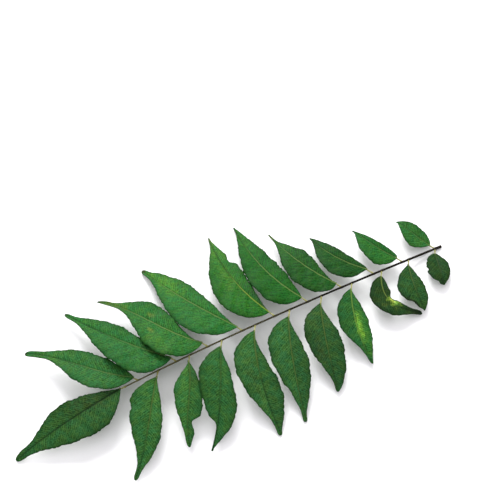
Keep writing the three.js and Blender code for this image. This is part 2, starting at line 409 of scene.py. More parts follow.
@dataclass(frozen=True)
class StalkForm:
    """Shape that all leaflet stalks share.

    Attributes:
        radius: Radius of its plain part.
        foot: Added radius of the swelling at the stem, then its place and spread as shares.
        flare: Added radius towards the blade, then where it starts and the share it takes.
        narrowing: Share of the radius lost at the end, where that starts and the share it takes.
        groove: Depth of the groove along the top as a share of the radius, and its width.
        roughness: Unevenness of the skin as a share of the radius, then its wavelength and the
            stalk's length in the same unit.
        sag: How far the middle hangs, as a share of the length.
        into_blade: How far it runs on below the midrib.
        below_midrib: How far below the midrib's own line it ends.
        rings: Rings along it.
        sides: Points in a ring.
    """

    radius: float = 0.27
    foot: tuple[float, float, float] = (0.13, 0.16, 0.16)
    flare: tuple[float, float, float] = (0.04, 0.6, 0.3)
    narrowing: tuple[float, float, float] = (0.45, 0.85, 0.15)
    groove: tuple[float, float] = (0.1, 0.5)
    roughness: tuple[float, float, float] = (0.04, 1.4, 4.0)
    sag: float = 0.06
    into_blade: float = 0.9
    below_midrib: float = 0.3
    rings: int = 30
    sides: int = 16

    def centres(self, root: Array, base: Array, leave: Array) -> Array:
        """Places the centre line.

        Args:
            root: Where the stalk stands on the stem.
            base: Where it meets the blade.
            leave: Direction in which the midrib leaves the base.

        Returns:
            One centre per ring.
        """
        end = base + leave * self.into_blade - np.array([0.0, 0.0, self.below_midrib])
        drop = self.sag * np.linalg.norm(end - root)
        middle = (root + end) / 2.0 - np.array([0.0, 0.0, drop])
        t = np.linspace(0.0, 1.0, self.rings)[:, None]
        return (1 - t) ** 2 * root + 2 * t * (1 - t) * middle + t**2 * end

    def radii(self, share: Array, angle: Array, seed: int) -> Array:
        """Measures the skin.

        Args:
            share: Shares of the length, as a column.
            angle: Angles round the stalk, as a row.
            seed: Chooses the unevenness.

        Returns:
            Radii by place along and round.
        """
        foot, foot_at, foot_spread = self.foot
        flare, flare_from, flare_share = self.flare
        lost, lost_from, lost_share = self.narrowing
        radius = self.radius + foot * hump(share, foot_at, foot_spread)
        radius = radius + flare * smooth_step((share - flare_from) / flare_share)
        radius = radius * (1.0 - lost * smooth_step((share - lost_from) / lost_share))
        radius = radius * (1.0 - self.groove[0] * hump(angle, math.pi / 2.0, self.groove[1]))
        uneven, period, length = self.roughness
        return radius * (1.0 + uneven * Waver(seed, period).at(length * share, angle))


@dataclass(frozen=True)
class StemLine:
    """The arched centre line of the stem and its thickness.

    Attributes:
        length: Length from the cut end to the tip, along the table.
        cut_radius: Radius at the cut end.
        radius: Radius just beyond the cut end's swelling.
        tip_radius: Radius at the tip.
        swelling_length: How far the cut end's swelling reaches.
        arch: How far the stem rises over its cut end.
        arch_top_at: Distance from the cut end at which it is highest.
        side_bow: How far its middle is bowed to the left row.
    """

    length: float = 147.6
    cut_radius: float = 0.64
    radius: float = 0.5
    tip_radius: float = 0.27
    swelling_length: float = 4.0
    arch: float = 9.9
    arch_top_at: float = 100.0
    side_bow: float = 0.35

    def point(self, along: Array) -> Array:
        """Places the centre line.

        Args:
            along: Distances from the cut end.

        Returns:
            Centres of the stem.
        """
        along = np.asarray(along, dtype=float)
        height = self.cut_radius + self.arch * np.sin(math.pi / 2.0 * along / self.arch_top_at)
        bow = -self.side_bow * np.sin(math.pi * along / self.length)
        return np.stack([-along, bow, height], axis=-1)

    def thickness(self, along: Array) -> Array:
        """Measures the stem.

        Args:
            along: Distances from the cut end.

        Returns:
            Radii of the stem.
        """
        taper = self.radius + (self.tip_radius - self.radius) * along / self.length
        swelling = 1.0 - smooth_step(along / self.swelling_length)
        return taper + (self.cut_radius - self.radius) * swelling


SECTION = BladeSection()
MARGIN = MarginForm()
VEINS = VeinPattern()
STALK = StalkForm()
STEM = StemLine()


def round_angles(sides: int) -> Array:
    """Returns evenly spaced angles round a rod."""
    return np.arange(sides) * 2.0 * math.pi / sides


def rod_rings(centres: Array, radii: Array, sides: int) -> Array:
    """Places rings of points round a centre line.

    Args:
        centres: One centre per ring.
        radii: Radius of each ring, or of each of its points.
        sides: Points in a ring.

    Returns:
        Points by ring and place in the ring.
    """
    forward = np.empty_like(centres)
    forward[1:-1] = centres[2:] - centres[:-2]
    forward[0] = centres[1] - centres[0]
    forward[-1] = centres[-1] - centres[-2]
    forward = unit(forward)
    across = unit(np.cross([0.0, 0.0, 1.0], forward))
    up = np.cross(forward, across)
    angle = round_angles(sides)[None, :, None]
    radii = np.asarray(radii).reshape(len(centres), -1)[:, :, None]
    ring = np.cos(angle) * across[:, None] + np.sin(angle) * up[:, None]
    return centres[:, None] + radii * ring


def tube_faces(rings: int, sides: int) -> Faces:
    """Lists the faces of a tube whose ends are closed by one face each.

    Args:
        rings: Number of rings.
        sides: Points in a ring.

    Returns:
        Corner numbers of each face, facing outwards; the two ends come last.
    """
    faces = []
    for near in range(0, (rings - 1) * sides, sides):
        for side in range(sides):
            after = (side + 1) % sides
            far = near + sides
            faces.append((near + side, near + after, far + after, far + side))
    last = (rings - 1) * sides
    faces.append(tuple(range(sides - 1, -1, -1)))
    faces.append(tuple(range(last, last + sides)))
    return faces


@dataclass(frozen=True)
class SprigPlace:
    """Where the sprig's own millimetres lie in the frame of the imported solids.

    Attributes:
        shift: Added to a place in millimetres.
    """

    shift: Array

    @classmethod
    def from_stem(cls) -> "SprigPlace":
        """Lays the stem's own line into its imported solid.

        Returns:
            The place of the sprig.
        """
        along = np.linspace(0.0, STEM.length, 32)
        rings = rod_rings(STEM.point(along), STEM.thickness(along), 10).reshape(-1, 3)
        low, high = (np.array(corner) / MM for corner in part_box("rachis"))
        return cls((low + high - rings.min(0) - rings.max(0)) / 2.0)

    def metres(self, points: Array) -> Array:
        """Returns places in millimetres of the sprig as metres of the frame."""
        return (points + self.shift) * MM


def heading(side: int, angle: float, pitch: float) -> Array:
    """Points away from the stem.

    Args:
        side: 1 for the right row, -1 for the left one.
        angle: Degrees away from the sprig's own direction.
        pitch: Degrees above level.

    Returns:
        A unit vector.
    """
    turn, slope = math.radians(angle), math.radians(pitch)
    level = math.cos(slope)
    return np.array([-math.cos(turn) * level, side * math.sin(turn) * level, math.sin(slope)])


def make_mesh(
    name: str, points: Array, faces: Faces, attributes: dict[str, Array]
) -> bpy.types.Object:
    """Makes a smooth mesh object and links it to the scene.

    Args:
        name: Name of the piece.
        points: Places in metres.
        faces: Corner numbers of each face.
        attributes: Vectors per point for the material, by name.

    Returns:
        The new object.
    """
    mesh = bpy.data.meshes.new(name)
    mesh.from_pydata(points.tolist(), [], faces)
    for key, values in attributes.items():
        layer = mesh.attributes.new(key, "FLOAT_VECTOR", "POINT")
        layer.data.foreach_set("vector", np.ascontiguousarray(values, dtype=np.float32).ravel())
    mesh.shade_smooth()
    piece = bpy.data.objects.new(name, mesh)
    bpy.context.scene.collection.objects.link(piece)
    return piece


def place_piece(
    piece: bpy.types.Object, node: str, material: bpy.types.Material
) -> None:
    """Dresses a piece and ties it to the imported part.

    Args:
        piece: The finished mesh object.
        node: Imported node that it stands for.
        material: Its material.
    """
    piece.data.materials.append(material)
    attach(piece, BODY)
    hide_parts(node)
    LOG.info("%s: %d faces", piece.name, len(piece.data.polygons))


class Grain(Enum):
    """Noise textures of the finishes: scale per metre, detail and roughness."""

    LEAF_BROAD = (120.0, 3.0, 0.55)
    LEAF_WANDER = (260.0, 2.0, 0.55)
    LEAF_CLOUDS = (300.0, 3.0, 0.55)
    LEAF_HUES = (420.0, 2.0, 0.55)
    LEAF_RAGGED = (480.0, 4.0, 0.55)
    LEAF_CELLS = (1600.0, 3.0, 0.7)
    LEAF_SPECKS = (2100.0, 2.0, 0.7)
    STALK_MOTTLE = (900.0, 3.0, 0.55)
    STALK_STRIPES = (2400.0, 2.0, 0.55)
    STEM_GROOVES = (5.0, 3.0, 0.55)
    STEM_SPECKLE = (1500.0, 4.0, 0.7)
    STEM_PITH = (2600.0, 3.0, 0.55)
    TABLE_DULLNESS = (9.0, 3.0, 0.55)


class Shader:
    """Builds the node tree of one material."""

    def __init__(self, name: str) -> None:
        """Starts a material with an empty tree and its output.

        Args:
            name: Name of the material.
        """
        self.material = bpy.data.materials.new(name)
        self.material.use_nodes = True
        self.tree = self.material.node_tree
        self.tree.nodes.clear()
        self.output = self.tree.nodes.new("ShaderNodeOutputMaterial")

    def _feed(self, socket: Socket, value: Value) -> None:
        """Links a socket to an input, or sets the input to a number or colour.

        Args:
            socket: The input.
            value: What it takes.
        """
        if isinstance(value, Socket):
            self.tree.links.new(value, socket)
        elif isinstance(value, tuple) and len(value) == 3 and socket.type == "RGBA":
            socket.default_value = (*value, 1.0)
        else:
            socket.default_value = value

    def node(
        self, kind: str, inputs: dict[str | int, Value] | None = None, **settings: str
    ) -> bpy.types.Node:
        """Adds a node.

        Args:
            kind: Type of the node.
            inputs: Values or sockets by input name or number.
            **settings: Properties of the node.

        Returns:
            The new node.
        """
        made = self.tree.nodes.new(kind)
        for key, value in settings.items():
            setattr(made, key, value)
        for key, value in (inputs or {}).items():
            self._feed(made.inputs[key], value)
        return made

    def math(self, operation: str, *values: Value) -> Socket:
        """Returns the result of a Math node on up to three values."""
        made = self.node("ShaderNodeMath", dict(enumerate(values)), operation=operation)
        return made.outputs[0]

    def ease(
        self, value: Socket, low: float, high: float, to: tuple[float, float] = (0.0, 1.0)
    ) -> Socket:
        """Eases a value between two limits.

        Args:
            value: The socket to read.
            low: Value that gives the first result.
            high: Value that gives the second result.
            to: The two results.

        Returns:
            The eased socket.
        """
        limits = {"From Min": low, "From Max": high, "To Min": to[0], "To Max": to[1]}
        inputs = {"Value": value, **limits}
        made = self.node("ShaderNodeMapRange", inputs, interpolation_type="SMOOTHSTEP")
        return made.outputs["Result"]

    def blend(self, share: Value, first: Value, second: Value, mode: str = "MIX") -> Socket:
        """Mixes two colours.

        Args:
            share: Share of the second colour.
            first: First colour.
            second: Second colour.
            mode: How they are mixed.

        Returns:
            The mixed colour socket.
        """
        made = self.node("ShaderNodeMix", data_type="RGBA", blend_type=mode)
        self._feed(made.inputs[0], share)
        self._feed(made.inputs[6], first)
        self._feed(made.inputs[7], second)
        return made.outputs[2]

    def object_place(self) -> Socket:
        """Returns places in the piece's own metres."""
        return self.node("ShaderNodeTexCoord").outputs["Object"]

    def noise(self, grain: Grain, place: Socket | None = None) -> Socket:
        """Adds a noise texture.

        Args:
            grain: Which texture.
            place: Where it is read, if not in the piece's own metres.

        Returns:
            The socket of its value.
        """
        scale, detail, roughness = grain.value
        vector = place or self.object_place()
        inputs = {"Vector": vector, "Scale": scale, "Detail": detail, "Roughness": roughness}
        return self.node("ShaderNodeTexNoise", inputs).outputs[0]

    def map(self, name: str) -> tuple[Socket, Socket, Socket]:
        """Reads a mesh attribute.

        Args:
            name: Name of the attribute.

        Returns:
            Its three numbers.
        """
        vector = self.node("ShaderNodeAttribute", attribute_name=name).outputs["Vector"]
        parts = self.node("ShaderNodeSeparateXYZ", {0: vector}).outputs
        return parts[0], parts[1], parts[2]

    def bump(
        self, height: Socket, strength: float, distance: float, normal: Socket | None = None
    ) -> Socket:
        """Raises the surface by a height socket.

        Args:
            height: Height socket.
            strength: Strength of the bump.
            distance: Height in metres at full strength.
            normal: Normal to start from.

        Returns:
            The new normal socket.
        """
        inputs = {"Height": height, "Strength": strength, "Distance": distance}
        if normal is not None:
            inputs["Normal"] = normal
        return self.node("ShaderNodeBump", inputs).outputs[0]

    def finish(self, **inputs: Value) -> bpy.types.Material:
        """Adds the surface shader.

        Args:
            **inputs: Socket names with _ for each space, and their values.

        Returns:
            The finished material.
        """
        named = {key.replace("_", " "): value for key, value in inputs.items()}
        surface = self.node("ShaderNodeBsdfPrincipled", named)
        self.tree.links.new(surface.outputs[0], self.output.inputs[0])
        return self.material


SHEEN_SHARE = 0.006
LEAST_PIGMENT = 0.003
PIGMENT_GAIN = 0.435


def linear(value: float) -> float:
    """Returns a display value from 0 to 255 as the linear one that shaders use."""
    share = value / 255.0
    return share / 12.92 if share <= 0.04045 else ((share + 0.055) / 1.055) ** 2.4


def pigment(colour: Display) -> Colour:
    """Turns the colour that a matt leaf shows under the studio light into its pigment.

    Args:
        colour: Display colour from 0 to 255.

    Returns:
        Linear colour for a shader.
    """
    shown = (linear(value) - SHEEN_SHARE for value in colour)
    return tuple(max(value, LEAST_PIGMENT) * PIGMENT_GAIN for value in shown)


@dataclass(frozen=True)
class Patch:
    """An area of another colour on a blade: mostly the leaf's own colour, and in a few leaflets a
    painted highlight or painted shadow.

    Attributes:
        along: Centre, as a share of the blade's length.
        across: Centre, from -1 at the proximal margin to 1 at the distal one.
        reach: How far it spreads, along and across, in the same shares.
        colour: Its display colour.
        amount: How much of it covers the green.
    """

    along: float
    across: float
    reach: tuple[float, float]
    colour: Display
    amount: float = 0.9


@dataclass(frozen=True)
class LeafFinish:
    """Colours of one leaflet.

    Attributes:
        green: Display colour of most of the upper skin.
        midrib: Display colour of the midrib.
        midrib_amount: How clearly the midrib shows near the base.
        midrib_until: Share of the length at which the midrib turns dark.
        distal_painted_light: Painted light: brightness of the distal half against the proximal one,
            for the way the light falls on the two sides of the fold.
        patches: Areas of another colour, a few of them painted highlight or painted shadow.
    """

    green: Display
    midrib: Display = (134, 168, 92)
    midrib_amount: float = 0.75
    midrib_until: float = 0.9
    distal_painted_light: float = 1.0
    patches: tuple[Patch, ...] = ()


class Tone(Enum):
    """Gains of red, green and blue that mottle a leaf's own colour."""

    DEEP = (0.3, 0.4, 0.32)
    DARK = (0.45, 0.53, 0.45)
    DUSKY = (0.56, 0.74, 0.52)
    FRESH = (1.12, 1.3, 1.04)
    BLUISH = (0.8, 0.98, 1.12)
    YELLOWISH = (1.2, 1.02, 0.86)
    LIGHT = (1.8, 1.5, 1.75)
    BRIGHT = (2.7, 2.1, 2.7)
    VEIN = (3.1, 2.8, 3.1)


class Texture(Enum):
    """What the tones of a leaf are laid on by."""

    CLOUDS = "clouds"
    CELLS = "cells"
    SPECKS = "specks"
    AREOLES = "areoles"
    FINE_VEINS = "fine veins"
    OFF_MIDRIB = "share of the way to the margin"
    FROM_RIB = "distance from the midrib's edge"


@dataclass(frozen=True)
class ToneLayer:
    """A tone laid over the mottling by one texture.

    Attributes:
        texture: The texture.
        start: Value of the texture at which the tone starts to show.
        full: Value at which it shows most.
        amount: How much it shows there.
        tone: The tone.
    """

    texture: Texture
    start: float
    full: float
    amount: float
    tone: Tone


AREOLE_SCALE = 1000.0
BROAD_RANGE = (0.3, 0.7)
NETTING_RANGE = (0.16, 0.0)
VEIN_RANGE = (0.39, 0.485)
VEIN_WANDER = 1.6
RIB_RANGE = (0.08, -0.06)
RIB_HALF_WIDTHS = (0.26, 0.08)
SEAM_RANGE = (-0.12, 0.12)
PATCH_RANGE = (1.0, 0.15)
RAGGED_EDGE = 1.6
MOTTLE_LAYERS = (
    ToneLayer(Texture.CLOUDS, 0.45, 0.75, 0.5, Tone.LIGHT),
    ToneLayer(Texture.AREOLES, 0.14, 0.4, 0.5, Tone.DARK),
    ToneLayer(Texture.CELLS, 0.5, 0.66, 0.85, Tone.BRIGHT),
    ToneLayer(Texture.CELLS, 0.5, 0.33, 0.65, Tone.DEEP),
    ToneLayer(Texture.SPECKS, 0.52, 0.64, 0.9, Tone.BRIGHT),
    ToneLayer(Texture.SPECKS, 0.48, 0.36, 0.8, Tone.DEEP),
)
VEIN_LAYERS = (
    ToneLayer(Texture.FINE_VEINS, 0.32, 0.5, 0.55, Tone.VEIN),
    ToneLayer(Texture.AREOLES, *NETTING_RANGE, 0.22, Tone.VEIN),
    ToneLayer(Texture.OFF_MIDRIB, 0.5, 1.0, 0.3, Tone.DARK),
    ToneLayer(Texture.OFF_MIDRIB, 0.86, 1.0, 0.6, Tone.DARK),
    ToneLayer(Texture.FROM_RIB, 0.7, 0.05, 0.35, Tone.DARK),
)
OLIVE = (104, 132, 66)
DARK_RIB = (36, 62, 34)
UNDER_DULL = (96, 132, 82)
UNDER_PALE = (122, 152, 100)
UNDER_VEIN = (150, 172, 118)
UNDER_RIB = (168, 184, 128)


class LeafSkin(Shader):
    """Builds the waxy green skin of one leaflet, with its veins."""

    def __init__(self, name: str, colours: LeafFinish) -> None:
        """Reads the blade's maps and lays out its textures.

        Args:
            name: Name of the material.
            colours: Colours of the leaflet.
        """
        super().__init__(name)
        self.colours = colours
        self.along, self.across, self.upper = self.map("blade_place")
        self.share_along, self.share_across, _ = self.map("blade_share")
        self.distance = self.math("ABSOLUTE", self.across)
        self.broad = self.ease(self.noise(Grain.LEAF_BROAD), *BROAD_RANGE)
        inputs = {"Vector": self.object_place(), "Scale": AREOLE_SCALE}
        areoles = self.node("ShaderNodeTexVoronoi", inputs, feature="DISTANCE_TO_EDGE")
        rib_half_width = self.ease(self.share_along, 0.0, 1.0, RIB_HALF_WIDTHS)
        side_veins, fine_veins = self._vein_courses()
        self.veins = self.ease(side_veins, *VEIN_RANGE)
        self.textures = {
            Texture.CLOUDS: self.noise(Grain.LEAF_CLOUDS),
            Texture.CELLS: self.noise(Grain.LEAF_CELLS),
            Texture.SPECKS: self.noise(Grain.LEAF_SPECKS),
            Texture.AREOLES: areoles.outputs["Distance"],
            Texture.FINE_VEINS: fine_veins,
            Texture.OFF_MIDRIB: self.math("ABSOLUTE", self.share_across),
            Texture.FROM_RIB: self.math("SUBTRACT", self.distance, rib_half_width),
        }
        self.rib = self.ease(self.textures[Texture.FROM_RIB], *RIB_RANGE)

    def _swing(self, grain: Grain, size: float) -> Socket:
        """Returns a noise texture that swings about 0."""
        return self.math("MULTIPLY", self.math("SUBTRACT", self.noise(grain), 0.5), size)

    def _off_middle(self, count: Socket) -> Socket:
        """Returns how far a count is from half-way between two whole numbers."""
        return self.math("ABSOLUTE", self.math("SUBTRACT", self.math("FRACT", count), 0.5))

    def _vein_courses(self) -> tuple[Socket, Socket]:
        """Lays out the side veins.

        Returns:
            A socket that is 0.5 on the side veins, and one that is so on the fine ones too.
        """
        wander = self._swing(Grain.LEAF_WANDER, VEIN_WANDER)
        squared = self.math("MULTIPLY", self.distance, self.distance)
        lean = self.math("MULTIPLY", self.distance, VEINS.lean)
        outwards = self.math("ADD", lean, self.math("MULTIPLY", squared, VEINS.curve))
        course = self.math("ADD", self.math("SUBTRACT", self.along, outwards), wander)
        stagger = self.math("MULTIPLY", self.math("GREATER_THAN", self.across, 0.0), 0.5)
        count = self.math("ADD", self.math("DIVIDE", course, VEINS.spacing), stagger)
        return self._off_middle(count), self._off_middle(self.math("MULTIPLY", count, 2.0))

    def _green(self) -> Socket:
        """Paints both halves, the distal one with painted light, and their patches, a few of which
        are painted highlight or painted shadow.

        Returns:
            The colour under the mottling.
        """
        proximal = pigment(self.colours.green)
        # Painted light: the distal half's colour is scaled up or down for the way the light falls
        # on that side of the fold.
        distal = tuple(value * self.colours.distal_painted_light for value in proximal)
        green = self.blend(self.ease(self.share_across, *SEAM_RANGE), proximal, distal)
        ragged = self._swing(Grain.LEAF_RAGGED, RAGGED_EDGE)
        shares = (self.share_along, self.share_across)
        for patch in self.colours.patches:
            squares = []
            for share, middle, reach in zip(shares, (patch.along, patch.across), patch.reach):
                offset = self.math("DIVIDE", self.math("SUBTRACT", share, middle), reach)
                squares.append(self.math("MULTIPLY", offset, offset))
            away = self.math("ADD", self.math("SQRT", self.math("ADD", *squares)), ragged)
            cover = self.ease(away, *PATCH_RANGE, (0.0, patch.amount))
            green = self.blend(cover, green, pigment(patch.colour))
        return green

    def _lay(self, base: Socket, layers: tuple[ToneLayer, ...]) -> Socket:
        """Lays tones over each other.

        Args:
            base: What lies below.
            layers: The tones, from the lowest to the highest.

        Returns:
            The gains of all of them.
        """
        for layer in layers:
            texture = self.textures[layer.texture]
            share = self.ease(texture, layer.start, layer.full, (0.0, layer.amount))
            base = self.blend(share, base, layer.tone.value)
        return base

    def _mottle(self) -> Socket:
        """Mixes the mottling and the veins.

        Returns:
            Gains of red, green and blue.
        """
        base = self.blend(self.broad, Tone.DUSKY.value, Tone.FRESH.value)
        mottle = self._lay(base, MOTTLE_LAYERS)
        fading = self.ease(self.textures[Texture.OFF_MIDRIB], 1.0, 0.86, (0.0, 0.68))
        mottle = self.blend(self.math("MULTIPLY", self.veins, fading), mottle, Tone.VEIN.value)
        return self._lay(mottle, VEIN_LAYERS)

    def _upper_side(self) -> Socket:
        """Colours the upper side.

        Returns:
            Its colour.
        """
        hues = self.ease(self.noise(Grain.LEAF_HUES), 0.36, 0.64)
        hue = self.blend(hues, Tone.BLUISH.value, Tone.YELLOWISH.value)
        colour = self.blend(1.0, self._green(), hue, "MULTIPLY")
        colour = self.blend(1.0, colour, self._mottle(), "MULTIPLY")
        until, amount = self.colours.midrib_until, self.colours.midrib_amount
        darkening = self.ease(self.share_along, until - 0.15, until + 0.1, (0.0, 0.65))
        fading = self.ease(self.share_along, until - 0.3, until + 0.08, (amount, 0.0))
        colour = self.blend(self.math("MULTIPLY", self.rib, darkening), colour, pigment(DARK_RIB))
        midrib = pigment(self.colours.midrib)
        return self.blend(self.math("MULTIPLY", self.rib, fading), colour, midrib)

    def _underside(self) -> Socket:
        """Colours the paler underside.

        Returns:
            Its colour.
        """
        pale = self.blend(self.broad, pigment(UNDER_DULL), pigment(UNDER_PALE))
        pale = self.blend(self.math("MULTIPLY", self.veins, 0.4), pale, pigment(UNDER_VEIN))
        return self.blend(self.math("MULTIPLY", self.rib, 0.8), pale, pigment(UNDER_RIB))

    def build(self) -> bpy.types.Material:
        """Joins colour, relief and gloss.

        Returns:
            The finished material.
        """
        colour = self.blend(self.upper, self._underside(), self._upper_side())
        netting = self.ease(self.textures[Texture.AREOLES], *NETTING_RANGE)
        normal = self.bump(self.math("SUBTRACT", 1.0, self.veins), 0.5, 0.08 * MM)
        normal = self.bump(netting, 0.4, 0.05 * MM, normal)
        normal = self.bump(self.textures[Texture.SPECKS], 0.25, 0.05 * MM, normal)
        dull = self.ease(self.textures[Texture.CELLS], 0.3, 0.7, (0.4, 0.58))
        dull = self.math("ADD", dull, self.math("MULTIPLY", self.veins, 0.08))
        return self.finish(
            Base_Color=colour, Roughness=dull, Normal=normal, Specular_IOR_Level=0.05
        )


@dataclass(frozen=True)
class StalkFinish:
    """Pale green skin of the leaflet stalks.

    Attributes:
        name: Name of the material.
        dull: Darker display colour.
        bright: Brighter display colour.
        foot: Display colour that it takes on at the stem.
    """

    name: str = "stalk_pale_green"
    dull: Display = (190, 190, 112)
    bright: Display = (226, 224, 154)
    foot: Display = (120, 112, 62)

    def material(self) -> bpy.types.Material:
        """Returns the one material that all stalks share."""
        return bpy.data.materials.get(self.name) or self._make()

    def _make(self) -> bpy.types.Material:
        """Makes the material.

        Returns:
            The finished material.
        """
        bark = Shader(self.name)
        share_along, _, _ = bark.map("stem_place")
        mottle = bark.ease(bark.noise(Grain.STALK_MOTTLE), 0.35, 0.65)
        colour = bark.blend(mottle, pigment(self.dull), pigment(self.bright))
        foot = bark.ease(share_along, 0.35, 0.0, (0.0, 0.25))
        colour = bark.blend(foot, colour, pigment(self.foot))
        normal = bark.bump(bark.noise(Grain.STALK_STRIPES), 0.4, 0.06 * MM)
        dull = bark.ease(mottle, 0.0, 1.0, (0.42, 0.56))
        return bark.finish(
            Base_Color=colour, Roughness=dull, Normal=normal, Specular_IOR_Level=0.15
        )


@dataclass(frozen=True)
class StemFinish:
    """Bark of the stem, dark near the cut end and greener towards the tip.

    Attributes:
        name: Name of the material.
        ages: Distances from the cut end at which the colours change.
        old: Display colours of the grooves and ridges near the cut end.
        young: Display colours of the grooves and ridges near the tip.
        speckle: Display colour of the specks.
        scar: Display colour beside the cut.
        pith: Display colours of the cut face.
    """

    name: str = "stem_green_brown"
    ages: tuple[float, float] = (50.0, 150.0)
    old: tuple[Display, Display] = ((30, 26, 18), (50, 44, 30))
    young: tuple[Display, Display] = ((84, 78, 46), (158, 152, 100))
    speckle: Display = (132, 120, 84)
    scar: Display = (46, 36, 26)
    pith: tuple[Display, Display] = ((92, 74, 48), (150, 132, 92))

    def material(self) -> bpy.types.Material:
        """Makes the material.

        Returns:
            The finished material.
        """
        bark = Shader(self.name)
        along, around, cut = bark.map("stem_place")
        speckle = bark.noise(Grain.STEM_SPECKLE)
        stretched = bark.math("MULTIPLY", along, 0.25)
        streaks = bark.node("ShaderNodeCombineXYZ", {0: stretched, 1: around})
        grooves = bark.noise(Grain.STEM_GROOVES, streaks.outputs[0])
        ageing = bark.ease(along, *self.ages)
        low, high = (
            bark.blend(ageing, pigment(old), pigment(young))
            for old, young in zip(self.old, self.young)
        )
        colour = bark.blend(bark.ease(grooves, 0.38, 0.66), low, high)
        specks = bark.ease(speckle, 0.6, 0.75, (0.0, 0.5))
        colour = bark.blend(specks, colour, pigment(self.speckle))
        colour = bark.blend(bark.ease(along, 1.3, 0.1, (0.0, 0.75)), colour, pigment(self.scar))
        fibres = bark.ease(bark.noise(Grain.STEM_PITH), 0.4, 0.6)
        pith = bark.blend(fibres, pigment(self.pith[0]), pigment(self.pith[1]))
        colour = bark.blend(cut, colour, pith)
        normal = bark.bump(grooves, 0.6, 0.12 * MM)
        normal = bark.bump(speckle, 0.35, 0.06 * MM, normal)
        dull = bark.ease(speckle, 0.3, 0.7, (0.5, 0.72))
        return bark.finish(
            Base_Color=colour, Roughness=dull, Normal=normal, Specular_IOR_Level=0.1
        )


@dataclass
class Rachis:
    """The stem of the sprig, with a swelling under each stalk and a dried cut end.

    Attributes:
        place: Where the sprig lies.
        joints: Distances of the stalks along the stem.
        finish: Its bark.
        steps: Rings along the stem.
        sides: Points in a ring.
        cap_rings: Rings of each end's face.
        swelling: Height, spread and shift of the swelling under each stalk.
        ridges: Height, number and twist per millimetre of the ridges.
        ridges_from: Length over which the ridges set in.
        roughness: Height and length of the bark's unevenness, and its length round the stem.
        domes: How far the middle of the cut face and of the tip stand out, in radii.
        pith: How far the pith stands out of both faces, in radii, and its share of the radius.
        fibres: Unevenness of both faces, in radii, and its wavelength.
        bark_seed: Chooses the bark's unevenness.
        fibre_seed: Chooses the faces' unevenness.
    """

    place: SprigPlace
    joints: list[float]
    finish: StemFinish = StemFinish()
    steps: int = 420
    sides: int = 28
    cap_rings: int = 5
    swelling: tuple[float, float, float] = (0.09, 0.7, 0.2)
    ridges: tuple[float, float, float] = (0.035, 5.0, 0.03)
    ridges_from: float = 6.0
    roughness: tuple[float, float, float] = (0.03, 5.0, 1.5)
    domes: tuple[float, float] = (0.22, 0.077)
    pith: tuple[float, float] = (0.05, 0.5)
    fibres: tuple[float, float] = (0.05, 1.1)
    bark_seed: int = 11
    fibre_seed: int = 5

    def skin_radius(self, along: Array, angle: Array) -> Array:
        """Measures the bark.

        Args:
            along: Distances along the stem, as a column.
            angle: Angles round it, as a row.

        Returns:
            Radii by place along and round.
        """
        radius = STEM.thickness(along)
        height, spread, shift = self.swelling
        for joint in self.joints:
            radius = radius + height * hump(along, joint - shift, spread)
        depth, number, twist = self.ridges
        setting_in = smooth_step(along / self.ridges_from)
        ridges = depth * np.cos(number * angle + twist * along) * setting_in
        uneven, period, round_length = self.roughness
        rough = uneven * Waver(self.bark_seed, period, 4).at(along, round_length * angle)
        return radius * (1.0 + ridges + rough)

    def build(self) -> bpy.types.Object:
        """Builds and dresses the stem.

        Returns:
            The finished piece.
        """
        along = np.linspace(0.0, STEM.length, self.steps)[:, None]
        angle = round_angles(self.sides)[None, :]
        rings = rod_rings(STEM.point(along[:, 0]), self.skin_radius(along, angle), self.sides)
        maps = np.stack(np.broadcast_arrays(along, angle * 0.5, 0.0), axis=-1)
        front = self._cap(rings[0], 1.0, self.domes[0])
        back = self._cap(rings[-1], -1.0, self.domes[1])
        shells = [*front[::-1], *rings, *back]
        cap_points = self.cap_rings * self.sides
        cut_map = np.broadcast_to(np.array([0.0, 0.0, 1.0]), (cap_points, 3))
        tip_map = np.broadcast_to(maps[-1][:1], (cap_points, 3))
        values = np.concatenate([cut_map, maps.reshape(-1, 3), tip_map])
        points = self.place.metres(np.concatenate(shells))
        faces = tube_faces(len(shells), self.sides)
        piece = make_mesh("stem_bark", points, faces, {"stem_place": values})
        place_piece(piece, "rachis", self.finish.material())
        return piece

    def _cap(self, ring: Array, way: float, dome: float) -> list[Array]:
        """Closes an end of the stem.

        Args:
            ring: Last ring of the bark.
            way: 1 if the end faces +X, and -1 if it faces -X.
            dome: How far its middle stands out, in radii.

        Returns:
            Rings from the rim inwards.
        """
        centre = ring.mean(0)
        radius = np.linalg.norm(ring - centre, axis=1).mean()
        rings = []
        for share in np.linspace(0.88, 0.02, self.cap_rings):
            places = 8.0 * share + np.arange(self.sides) * 0.7
            fibres = self.fibres[0] * Waver(self.fibre_seed, self.fibres[1]).at(places)[:, None]
            height = dome * (1.0 - share**2) + self.pith[0] * (share < self.pith[1])
            height = height + fibres * share
            level = centre + (ring - centre) * share
            rings.append(level + np.array([way, 0.0, 0.0]) * radius * height)
        return rings


